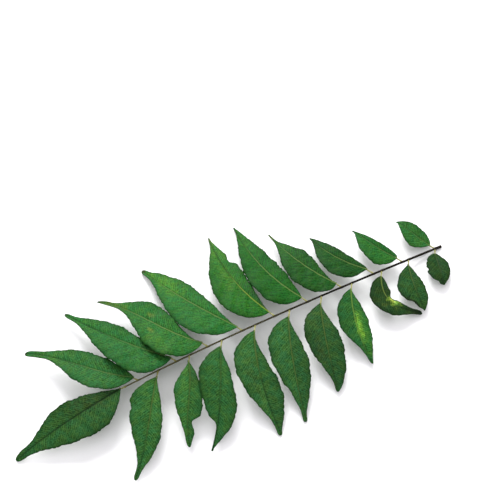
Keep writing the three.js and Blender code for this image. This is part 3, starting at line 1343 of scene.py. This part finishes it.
@dataclass
class Leaflet:
    """One leaflet: its blade and its stalk.

    Attributes:
        row: Where it stands.
        number: Its place in the row, from the cut end.
        form: Its shape.
        finish: Its colours.
        place: Where the sprig lies.
        stalk_finish: Skin of its stalk.
        stalk_angle: Degrees by which the stalk leans away from the sprig's own direction.
        stalk_rise: How far the base of the blade lies above the stem's middle.
        tip_slope: Slope of the midrib at the tip, in degrees.
        tip_thickness: How far the midrib's line lies above the underside of the tip.
        step: Distance between stations along the blade.
        least_stations: Least number of them.
        end_crowding: How much closer they stand at both ends.
        columns: Points from margin to margin.
        midrib_crowding: How much closer they stand near the midrib.
        label: Its row and number, as its pieces are named.
    """

    row: Row
    number: int
    form: BladeForm
    finish: LeafFinish
    place: SprigPlace
    stalk_finish: StalkFinish = StalkFinish()
    stalk_angle: float = 58.0
    stalk_rise: float = 0.9
    tip_slope: float = -22.0
    tip_thickness: float = 0.8
    step: float = 0.42
    least_stations: int = 44
    end_crowding: float = 0.6
    columns: int = 45
    midrib_crowding: float = 0.55
    label: str = field(init=False)

    def __post_init__(self) -> None:
        """Names the leaflet after its place."""
        self.label = "end" if self.row is Row.END else f"{self.row.value}_{self.number:02d}"

    @property
    def seed(self) -> int:
        """Returns the number that makes this leaflet's irregularities its own."""
        return 100 * (1 + list(Row).index(self.row)) + self.number

    def seed_of(self, which: Irregularity) -> int:
        """Returns the seed of one of its irregularities."""
        return self.seed + which.value

    def base(self) -> Array:
        """Finds where the stalk meets the blade.

        Returns:
            The point.
        """
        angle = 0.0 if self.row is Row.END else self.stalk_angle
        point = heading(self.row.side, angle, 0.0) * self.form.stalk
        point[0] -= self.form.at
        point[2] += STEM.point(self.form.at)[2] + self.stalk_rise
        return point

    def midrib(self) -> Array:
        """Lays out the midrib as a curve with four control points.

        Returns:
            The points, from the base to the tip.
        """
        form, side = self.form, self.row.side
        base = self.base()
        tip = base + heading(side, form.angle, 0.0) * form.length
        tip[2] = form.tip_height + self.tip_thickness
        reach = [form.length / 3.0 / math.cos(math.radians(turn)) for turn in form.turn]
        leave = heading(side, form.angle - form.turn[0], form.lift) * reach[0]
        arrive = heading(side, form.angle - form.turn[1], self.tip_slope) * reach[1]
        return np.array([base, base + leave, tip - arrive, tip])

    def stations(self) -> dict[str, Array]:
        """Measures the blade at stations along its midrib.

        Returns:
            Shares of the length, distances along it, centres, and the distal and upward directions.
        """
        count = max(int(self.form.length / self.step), self.least_stations)
        even = np.linspace(0.0, 1.0, count)
        crowded = (1.0 - np.cos(math.pi * even)) / 2.0
        t = (1.0 - self.end_crowding) * even + self.end_crowding * crowded
        a, b, c, d = self.midrib()
        s, u = 1.0 - t[:, None], t[:, None]
        centre = s**3 * a + 3 * s * s * u * b + 3 * s * u * u * c + u**3 * d
        forward = unit(s * s * (b - a) + 2 * s * u * (c - b) + u * u * (d - c))
        distal = unit(np.cross([0.0, 0.0, self.row.side], forward))
        up = np.cross(forward, distal) * self.row.side
        turned = distal * math.cos(SECTION.roll) + up * math.sin(SECTION.roll)
        raised = up * math.cos(SECTION.roll) - distal * math.sin(SECTION.roll)
        steps = np.linalg.norm(np.diff(centre, axis=0), axis=1)
        along = np.concatenate([[0.0], np.cumsum(steps)])
        return {"t": t, "along": along, "centre": centre, "distal": turned, "up": raised}

    def margins(self, half: Half, t: Array, along: Array) -> Array:
        """Measures the wavy, finely scalloped margin of one half.

        Args:
            half: Which half.
            t: Shares of the length.
            along: Distances along the midrib.

        Returns:
            Distances from midrib to margin.
        """
        distal = half is Half.DISTAL
        which = Irregularity.DISTAL_MARGIN if distal else Irregularity.PROXIMAL_MARGIN
        return MARGIN.shape(self.form.half_width(half, t), t, along, self.seed_of(which))

    def skins(self) -> tuple[Array, Array, Array, Array]:
        """Shapes the two skins of the blade.

        Returns:
            Points of the upper and of the lower skin, then distances and shares for the material.
        """
        blade = self.stations()
        t, along = blade["t"][:, None], blade["along"][:, None]
        distal, proximal = (self.margins(half, t[:, 0], along[:, 0])[:, None] for half in Half)
        even = np.linspace(-1.0, 1.0, self.columns)
        crowded = np.sign(even) * np.abs(even) ** 1.6
        sigma = (1.0 - self.midrib_crowding) * even + self.midrib_crowding * crowded
        sigma = sigma[None, :]
        width = np.where(sigma > 0.0, distal, proximal)
        across = sigma * width
        size = np.minimum(width / SECTION.full_size_at, 1.0)
        veins = VEINS.relief(along, across)
        inner = 1.0 - sigma**4
        wave, wave_length = SECTION.wave
        ripple, ripple_length = SECTION.ripple
        bent = np.sqrt(sigma**2 + SECTION.fold_rounding**2) - SECTION.fold_rounding
        height = width * (math.tan(SECTION.fold) * bent - SECTION.edge_curl * sigma**2)
        waves = Waver(self.seed_of(Irregularity.EDGE), wave_length, 2).at(along, 2.0 * sigma)
        ripples = Waver(self.seed_of(Irregularity.BLADE), ripple_length).at(along, across)
        height = height + size * (wave * sigma**2 * waves + ripple * ripples)
        top = SECTION.pillow * size * inner * (1.0 - veins)
        top = top - SECTION.ridge(SECTION.groove, t, across)
        thickness = SECTION.thickness + SECTION.body * (1.0 - sigma**2)
        bottom = thickness + SECTION.ridge(SECTION.keel, t, across)
        bottom = bottom + SECTION.vein_ridge * veins * inner
        flat = blade["centre"][:, None] + blade["distal"][:, None] * across[..., None]
        up = blade["up"][:, None]
        upper = flat + up * (height + top)[..., None]
        lower = flat + up * (height - bottom)[..., None]
        places = np.stack(np.broadcast_arrays(along, across, 0.0), axis=-1)
        shares = np.stack(np.broadcast_arrays(t, sigma, 0.0), axis=-1)
        return upper, lower, places, shares

    def build_blade(self) -> bpy.types.Object:
        """Builds and dresses the blade, a closed skin with a rounded margin.

        Returns:
            The finished piece.
        """
        upper, lower, places, shares = self.skins()
        middle = (upper + lower) / 2.0
        far = middle[:, -1] + SECTION.rim * unit(upper[:, -1] - upper[:, -2])
        near = middle[:, 0] + SECTION.rim * unit(upper[:, 0] - upper[:, 1])
        loops = np.concatenate([upper, far[:, None], lower[:, ::-1], near[:, None]], axis=1)
        top = places.copy()
        top[..., 2] = 1.0
        maps = np.concatenate([top, top[:, -1:], places[:, ::-1], top[:, :1]], axis=1)
        parts = np.concatenate([shares, shares[:, -1:], shares[:, ::-1], shares[:, :1]], axis=1)
        stations, around = loops.shape[:2]
        faces = tube_faces(stations, around)[:-2] + self._end_faces(stations, around)
        if self.row.side < 0:
            faces = [face[::-1] for face in faces]
        values = {"blade_place": maps.reshape(-1, 3), "blade_share": parts.reshape(-1, 3)}
        points = self.place.metres(loops.reshape(-1, 3))
        piece = make_mesh(f"blade_{self.label}", points, faces, values)
        skin = LeafSkin(f"leaf_skin_{self.label}", self.finish).build()
        place_piece(piece, f"leaflet_{self.label}", skin)
        return piece

    def _end_faces(self, stations: int, around: int) -> Faces:
        """Closes the base and the tip of the blade.

        Args:
            stations: Number of loops along the blade.
            around: Points in a loop.

        Returns:
            Corner numbers of the faces at both ends.
        """
        faces = []
        columns = self.columns
        for start, turn in ((0, -1), ((stations - 1) * around, 1)):
            for column in range(columns - 1):
                low = around - 2 - column
                corners = (start + column, start + column + 1, start + low - 1, start + low)
                faces.append(corners[::turn])
            faces.append((start + columns - 1, start + columns, start + columns + 1)[::turn])
            faces.append((start + around - 2, start + around - 1, start)[::turn])
        return faces

    def build_stalk(self) -> bpy.types.Object:
        """Builds and dresses the stalk, which flares into the stem and into the midrib.

        Returns:
            The finished piece.
        """
        base, control = self.midrib()[:2]
        root = STEM.point(min(self.form.at, STEM.length))
        centres = STALK.centres(root, base, unit(control - base))
        share = np.linspace(0.0, 1.0, STALK.rings)[:, None]
        angle = round_angles(STALK.sides)[None, :]
        radii = STALK.radii(share, angle, self.seed_of(Irregularity.STALK))
        rings = rod_rings(centres, radii, STALK.sides)
        values = np.stack(np.broadcast_arrays(share, angle, 0.0), axis=-1).reshape(-1, 3)
        points = self.place.metres(rings.reshape(-1, 3))
        faces = tube_faces(STALK.rings, STALK.sides)
        piece = make_mesh(f"petiolule_{self.label}", points, faces, {"stem_place": values})
        place_piece(piece, f"stalk_{self.label}", self.stalk_finish.material())
        return piece


D, P = Half.DISTAL, Half.PROXIMAL

LEFT_FORMS = (
    BladeForm(
        3.2, 2.5, 74, 15.6, 2.2, (3, -3),
        HalfBlade(5.5, 0.5, 0.6, 0.75), HalfBlade(4.6, 0.46, 0.9, 0.9),
        notches=(Notch(D, 0.48, 1, 0.07, 0.08), Notch(D, 0.87, 0.9, 0.06, 0.09)),
    ),
    BladeForm(
        16.6, 2.6, 79, 21.8, 2.2, (11, -11),
        HalfBlade(7.4, 0.5, 1.2, 1.45), HalfBlade(4.4, 0.6, 1.15, 0.85),
        notches=(Notch(D, 0.77, 1.4, 0.07, 0.15),),
    ),
    BladeForm(
        30, 3.1, 112, 22.5, 0.7, (52, -44),
        HalfBlade(6.6, 0.3, 0.8, 1.85), HalfBlade(2.6, 0.25, 0.6, 0.8),
        tail=(0.96, 1), notches=(Notch(P, 0.4, 1.6, 0.14, 0.16),), lift=0.0,
    ),
    BladeForm(
        44.6, 3.1, 78.3, 32.2, 1.2, (17.5, -17),
        HalfBlade(7.1, 0.38, 0.95, 2.3), HalfBlade(5.3, 0.52, 1.25, 1.1),
        tail=(0.9, 0.8), notches=(Notch(D, 0.74, 0.5, 0.1, 0.12),),
    ),
    BladeForm(
        59.1, 3.8, 73.8, 36.7, 1.2, (9, -4),
        HalfBlade(8.4, 0.31, 1.1, 2.05), HalfBlade(6.7, 0.54, 1.6, 0.74),
        tail=(0.96, 0.65),
    ),
    BladeForm(
        74, 3.6, 72.4, 42.5, 0, (10, -5),
        HalfBlade(9.2, 0.28, 1, 2.1), HalfBlade(6.4, 0.5, 1.6, 1.55),
        tail=(0.97, 0.85), notches=(Notch(D, 0.7, 0.45, 0.1, 0.1),),
    ),
    BladeForm(
        89.8, 3, 78, 42.4, 0, (16, -10),
        HalfBlade(9.4, 0.3, 1, 2.2), HalfBlade(6.9, 0.6, 2.1, 1.15),
        tail=(0.97, 0.85), notches=(Notch(P, 0.37, 0.5, 0.12, 0.12),),
    ),
    BladeForm(
        105, 3, 59, 41.2, 1.2, (-5, 14),
        HalfBlade(8.9, 0.3, 0.95, 2.3), HalfBlade(6.7, 0.6, 1.5, 1.6),
        notches=(Notch(D, 0.74, 1.9, 0.06, 0.2), Notch(P, 0.4, 0.7, 0.14, 0.1)),
    ),
    BladeForm(
        119.6, 2.6, 65.2, 33.6, 2.2, (-12, -14),
        HalfBlade(6.1, 0.36, 1.6, 2.4), HalfBlade(5.4, 0.52, 1.3, 1.1),
        tail=(0.9, 1), notches=(Notch(P, 0.71, 2.8, 0.07, 0.16),),
    ),
    BladeForm(
        133.5, 2.8, 52.4, 40.8, 0.4, (-1, 12),
        HalfBlade(8.6, 0.29, 1.15, 2.3), HalfBlade(5.3, 0.54, 1.4, 1.75),
        tail=(0.95, 0.9), notches=(Notch(D, 0.35, 0.7, 0.06, 0.08),),
    ),
)

RIGHT_FORMS = (
    BladeForm(
        3.1, 2.5, 61, 17.3, 4.2, (6, -6),
        HalfBlade(5.7, 0.42, 1, 1.7), HalfBlade(4.4, 0.45, 0.6, 0.95),
    ),
    BladeForm(
        19.5, 2.7, 61, 22.5, 4.2, (12, -12),
        HalfBlade(7.9, 0.34, 0.8, 1.7), HalfBlade(2.6, 0.38, 0.4, 1),
    ),
    BladeForm(
        33.7, 3.2, 60, 28.5, 3.2, (21, -23),
        HalfBlade(8.6, 0.36, 1.1, 2), HalfBlade(3.8, 0.55, 0.7, 0.8),
    ),
    BladeForm(
        49.5, 2.3, 69, 38, 1.7, (18, -16),
        HalfBlade(9.5, 0.32, 0.4, 3), HalfBlade(5.5, 0.52, 1.8, 3),
        tail=(0.85, 0.5),
    ),
    BladeForm(
        65.6, 2.6, 79, 46.7, 0, (23, -17),
        HalfBlade(10.1, 0.22, 0.7, 2), HalfBlade(5.8, 0.42, 0.9, 1),
    ),
    BladeForm(
        80.9, 2.4, 83, 46.7, 0, (22, -17),
        HalfBlade(11.6, 0.27, 0.7, 2.2), HalfBlade(5.5, 0.53, 1.3, 1.6),
        tail=(0.9, 0.5), notches=(Notch(P, 0.64, 1.8, 0.05, 0.12),),
    ),
    BladeForm(
        95.7, 2.1, 63, 50.9, 0, (11, -11),
        HalfBlade(11.7, 0.3, 0.85, 2.3), HalfBlade(6.5, 0.6, 1.5, 1.2),
        tail=(0.96, 1.1),
    ),
    BladeForm(
        111.2, 2.5, 52, 49.5, 2.7, (14, 10),
        HalfBlade(11.3, 0.27, 0.7, 4.2), HalfBlade(7.7, 0.52, 2.1, 3.5),
        tail=(0.84, 0.9),
    ),
    BladeForm(
        125.2, 2.4, 52.3, 50.5, 2.7, (12, -10),
        HalfBlade(11.3, 0.24, 0.75, 2.35), HalfBlade(5.6, 0.53, 1.8, 1.9),
        tail=(0.94, 1),
    ),
    BladeForm(
        142.3, 1.9, 41.5, 47.4, 2.7, (13, 8),
        HalfBlade(8.1, 0.31, 0.9, 3.5), HalfBlade(6.4, 0.42, 0.75, 2.2),
        tail=(0.94, 1.3),
    ),
)

END_FORM = BladeForm(
    148, 2, 7.4, 49.2, 0, (-2, -4), HalfBlade(6.9, 0.5, 1.3, 3.2), HalfBlade(10.2, 0.3, 1, 1.65),
    tail=(0.91, 1.6),
)

# Painted light: the distal gains below make one half of a blade lighter for the way the light falls
# on it.
LEFT_FINISHES = (
    LeafFinish((42, 74, 37), OLIVE, 0.25, patches=(
        Patch(0.9, 0.3, (0.25, 0.7), (37, 49, 32), 0.6),)),
    LeafFinish((46, 84, 42), OLIVE, 0.6, 0.7, patches=(
        Patch(0.8, 0.9, (0.22, 0.4), (34, 43, 31), 0.8),)),
    LeafFinish((42, 70, 35), (126, 152, 74), 0.85, 0.6, patches=(
        # Painted shade: the dark end of this curled leaflet, where its blade rolls over.
        Patch(1.0, 0.0, (0.3, 2.5), (36, 45, 31), 0.8),
        Patch(0.42, 0.55, (0.07, 0.3), (70, 96, 46), 0.5),
        # Painted highlight: the pale yellow-green band across the bend of this curled blade, and
        # its brighter core.
        Patch(0.48, -0.45, (0.2, 0.8), (136, 184, 70), 1.0),
        Patch(0.47, -0.5, (0.11, 0.4), (190, 212, 104), 0.9))),
    LeafFinish((48, 100, 49), (124, 168, 74), 0.9, patches=(
        Patch(0.62, -0.6, (0.6, 1.0), (62, 122, 50), 0.8),
        Patch(0.54, -0.15, (0.28, 0.34), (112, 172, 62), 0.9))),
    LeafFinish((50, 90, 46), OLIVE, 0.8, 0.8, patches=(
        Patch(0.55, 0.5, (0.3, 0.5), (56, 74, 42), 0.45),
        Patch(0.15, 0.0, (0.2, 1.5), (64, 96, 50), 0.4))),
    LeafFinish((51, 95, 49), OLIVE, 0.8, 0.95, distal_painted_light=1.25),
    LeafFinish((53, 97, 49), OLIVE, 0.85, 0.5, distal_painted_light=1.25, patches=(
        Patch(0.45, 0.35, (0.3, 0.4), (54, 78, 42), 0.35),)),
    LeafFinish((53, 102, 50), OLIVE, 0.3, 0.6),
    LeafFinish((56, 106, 51), OLIVE, 0.5, distal_painted_light=1.3, patches=(
        # Painted shadow: the base of the proximal half, where the margin of the leaflet before it
        # lies over it.
        Patch(0.1, -0.4, (0.25, 1.2), (54, 76, 41), 0.4),)),
    LeafFinish((58, 110, 54), OLIVE, 0.7, 0.7, patches=(
        Patch(0.2, -0.5, (0.3, 0.7), (68, 118, 54), 0.5),)),
)

# Painted light: the distal gains below make one half of a blade lighter or darker for the way the
# light falls on it.
RIGHT_FINISHES = (
    LeafFinish((52, 107, 50), midrib_amount=0.3, distal_painted_light=1.1),
    LeafFinish((44, 98, 42), midrib_amount=0.35, distal_painted_light=1.15),
    LeafFinish((37, 80, 34), midrib_amount=0.6, distal_painted_light=1.05),
    LeafFinish((37, 86, 34), midrib_amount=0.75, distal_painted_light=0.95, patches=(
        Patch(0.85, 0.0, (0.3, 2.0), (58, 112, 48), 0.7),
        Patch(0.97, 0.0, (0.12, 2.0), (104, 130, 66), 0.8))),
    LeafFinish((37, 93, 34), midrib_amount=0.75, midrib_until=0.8, patches=(
        Patch(0.95, 0.0, (0.4, 2.0), (56, 114, 46), 0.7),)),
    LeafFinish((44, 103, 37), (160, 186, 80), 0.8, 0.5, patches=(
        Patch(0.5, 0.15, (0.28, 0.5), (70, 120, 45), 0.6),
        # Painted shadow: the base of the proximal half, where the margin of the leaflet before it
        # lies over it.
        Patch(0.1, -0.7, (0.3, 0.6), (38, 74, 40), 0.7),
        Patch(0.88, 0.0, (0.3, 2.0), (72, 126, 49), 0.7),
        Patch(0.99, 0.0, (0.1, 2.0), (108, 130, 58), 0.8))),
    LeafFinish((46, 108, 46), midrib_amount=0.65, distal_painted_light=0.98, patches=(
        Patch(0.78, -0.2, (0.36, 1.0), (78, 134, 45), 0.6),
        Patch(1.0, 0.0, (0.05, 2.0), (54, 72, 38)))),
    LeafFinish((49, 108, 46), midrib_amount=0.7, patches=(
        Patch(0.9, 0.0, (0.22, 2.0), (90, 122, 52), 0.7),
        Patch(1.0, 0.0, (0.06, 2.0), (62, 66, 42)),
        Patch(0.5, -0.35, (0.05, 0.18), (104, 116, 52), 0.5),
        Patch(0.3, 0.7, (0.2, 0.4), (70, 124, 46), 0.5),
        Patch(0.42, 0.4, (0.05, 0.15), (104, 124, 52), 0.5))),
    LeafFinish((46, 104, 47), midrib_amount=0.4, midrib_until=0.6, patches=(
        # Painted shadow: the base of the proximal half, where the margin of the leaflet before it
        # lies over it.
        Patch(0.12, -0.5, (0.22, 0.9), (42, 66, 34), 0.6),
        Patch(0.85, 0.0, (0.22, 1.5), (58, 120, 48), 0.5),
        Patch(1.0, 0.0, (0.04, 2.0), (54, 72, 44)))),
    LeafFinish((51, 106, 50), midrib_amount=0.4, midrib_until=0.6, patches=(
        Patch(0.72, 0.0, (0.15, 1.2), (66, 116, 48), 0.4),
        Patch(1.0, 0.0, (0.03, 2.0), (44, 54, 36)))),
)

END_FINISH = LeafFinish((51, 94, 47), DARK_RIB, 0.9, 1.2, patches=(
    Patch(0.2, 0.4, (0.35, 1.0), (52, 70, 39), 0.55),))


@dataclass
class Table:
    """The plain pale surface that the sprig lies on.

    Attributes:
        reach: Half of its width, in metres.
        height: Level of its top, in metres.
        white: Its linear colour.
        dullness: Roughness where it is smoothest and where it is dullest.
    """

    reach: float = 3.0
    height: float = 0.0
    white: Colour = (0.88, 0.88, 0.885)
    dullness: tuple[float, float] = (0.7, 0.85)

    def build(self) -> bpy.types.Object:
        """Builds and paints the table top.

        Returns:
            The finished piece.
        """
        mesh = bpy.data.meshes.new("table_top")
        r, z = self.reach, self.height
        mesh.from_pydata([(-r, -r, z), (r, -r, z), (r, r, z), (-r, r, z)], [], [(0, 1, 2, 3)])
        paint = Shader("table_white")
        dull = paint.ease(paint.noise(Grain.TABLE_DULLNESS), 0.3, 0.7, self.dullness)
        white = paint.finish(Base_Color=self.white, Roughness=dull, Specular_IOR_Level=0.1)
        mesh.materials.append(white)
        floor = bpy.data.objects.new("table_top", mesh)
        bpy.context.scene.collection.objects.link(floor)
        return floor


@dataclass(frozen=True)
class Lamp:
    """A soft square lamp that faces the sprig.

    Attributes:
        name: Its name.
        right: Its place to the right of the target, in metres.
        away: Its place beyond the target.
        up: Its place above the target.
        size: Its width, in metres.
        power: Its power, in watts.
    """

    name: str
    right: float
    away: float
    up: float
    size: float
    power: float


LAMPS = (
    Lamp("window_behind", right=-0.4, away=1.9, up=1.45, size=1.15, power=80.0),
    Lamp("ceiling", right=0.0, away=0.2, up=1.6, size=1.6, power=8.0),
)


@dataclass
class Studio:
    """Soft light from behind the sprig, and the camera in front of it.

    Attributes:
        place: Where the sprig lies.
        aim: Point that the camera looks at, in millimetres from the cut end.
        azimuth: Degrees that the camera stands round the sprig.
        elevation: Degrees that it looks down.
        distance: Its distance from the point, in millimetres.
        lens: Focal length.
        sensor: Width of its sensor.
        room_colour: Linear colour of the light from all around.
        room_light: Strength of that light.
    """

    place: SprigPlace
    aim: tuple[float, float, float] = (-76.0, 32.1, 8.0)
    azimuth: float = -26.6
    elevation: float = 64.0
    distance: float = 500.0
    lens: float = 85.0
    sensor: float = 36.0
    room_colour: Colour = (0.985, 0.965, 1.0)
    room_light: float = 0.88

    def directions(self) -> tuple[Vector, Vector]:
        """Measures the level directions of the studio.

        Returns:
            The directions to the right of the picture and away from the camera.
        """
        turn = math.radians(self.azimuth)
        right = Vector((math.cos(turn), math.sin(turn), 0.0))
        return right, Vector((-math.sin(turn), math.cos(turn), 0.0))

    def target(self) -> Vector:
        """Returns the point that the camera looks at, in metres."""
        return Vector(self.place.metres(np.array(self.aim)))

    def add_camera(self) -> None:
        """Adds the camera."""
        _, away = self.directions()
        slope = math.radians(self.elevation)
        back = Vector((0.0, 0.0, math.sin(slope))) - away * math.cos(slope)
        data = bpy.data.cameras.new("sprig_camera")
        data.lens = self.lens
        data.sensor_width = self.sensor
        data.clip_start, data.clip_end = 0.01, 20.0
        camera = bpy.data.objects.new("sprig_camera", data)
        camera.location = self.target() + back * self.distance * MM
        camera.rotation_euler = (-back).to_track_quat("-Z", "Y").to_euler()
        bpy.context.scene.collection.objects.link(camera)
        bpy.context.scene.camera = camera

    def add_lamp(self, form: Lamp) -> None:
        """Adds a lamp.

        Args:
            form: Its place, size and power.
        """
        right, away = self.directions()
        offset = away * form.away + right * form.right + Vector((0.0, 0.0, form.up))
        data = bpy.data.lights.new(form.name, "AREA")
        data.shape, data.size, data.energy = "SQUARE", form.size, form.power
        lamp = bpy.data.objects.new(form.name, data)
        lamp.location = self.target() + offset
        lamp.rotation_euler = (-offset).to_track_quat("-Z", "Y").to_euler()
        bpy.context.scene.collection.objects.link(lamp)

    def build(self) -> None:
        """Adds the lamps, the world and the camera."""
        for form in LAMPS:
            self.add_lamp(form)
        world = bpy.data.worlds.new("pale_room")
        world.use_nodes = True
        background = world.node_tree.nodes["Background"]
        background.inputs["Color"].default_value = (*self.room_colour, 1.0)
        background.inputs["Strength"].default_value = self.room_light
        scene = bpy.context.scene
        scene.world = world
        scene.view_settings.view_transform = "Standard"
        scene.view_settings.look = "None"
        self.add_camera()


@dataclass
class CurryLeafSprig:
    """The whole sprig: its stem and its leaflets.

    Attributes:
        place: Where it lies.
    """

    place: SprigPlace

    def leaflets(self) -> list[Leaflet]:
        """Lists the leaflets.

        Returns:
            The left row, the right row and the end leaflet, each row from the cut end.
        """
        made = []
        for row, forms, finishes in (
            (Row.LEFT, LEFT_FORMS, LEFT_FINISHES),
            (Row.RIGHT, RIGHT_FORMS, RIGHT_FINISHES),
            (Row.END, (END_FORM,), (END_FINISH,)),
        ):
            for number, (form, finish) in enumerate(zip(forms, finishes, strict=True), start=1):
                made.append(Leaflet(row, number, form, finish, self.place))
        return made

    def build(self) -> None:
        """Builds and dresses every piece."""
        leaflets = self.leaflets()
        joints = [leaflet.form.at for leaflet in leaflets if leaflet.row is not Row.END]
        Rachis(self.place, joints).build()
        for leaflet in leaflets:
            leaflet.build_stalk()
            leaflet.build_blade()


def main() -> None:
    """Builds the sprig, its table and its studio."""
    logging.basicConfig(level=logging.INFO, format="%(message)s")
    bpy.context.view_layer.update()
    place = SprigPlace.from_stem()
    CurryLeafSprig(place).build()
    Table().build()
    Studio(place).build()


if __name__ == "__main__":
    main()
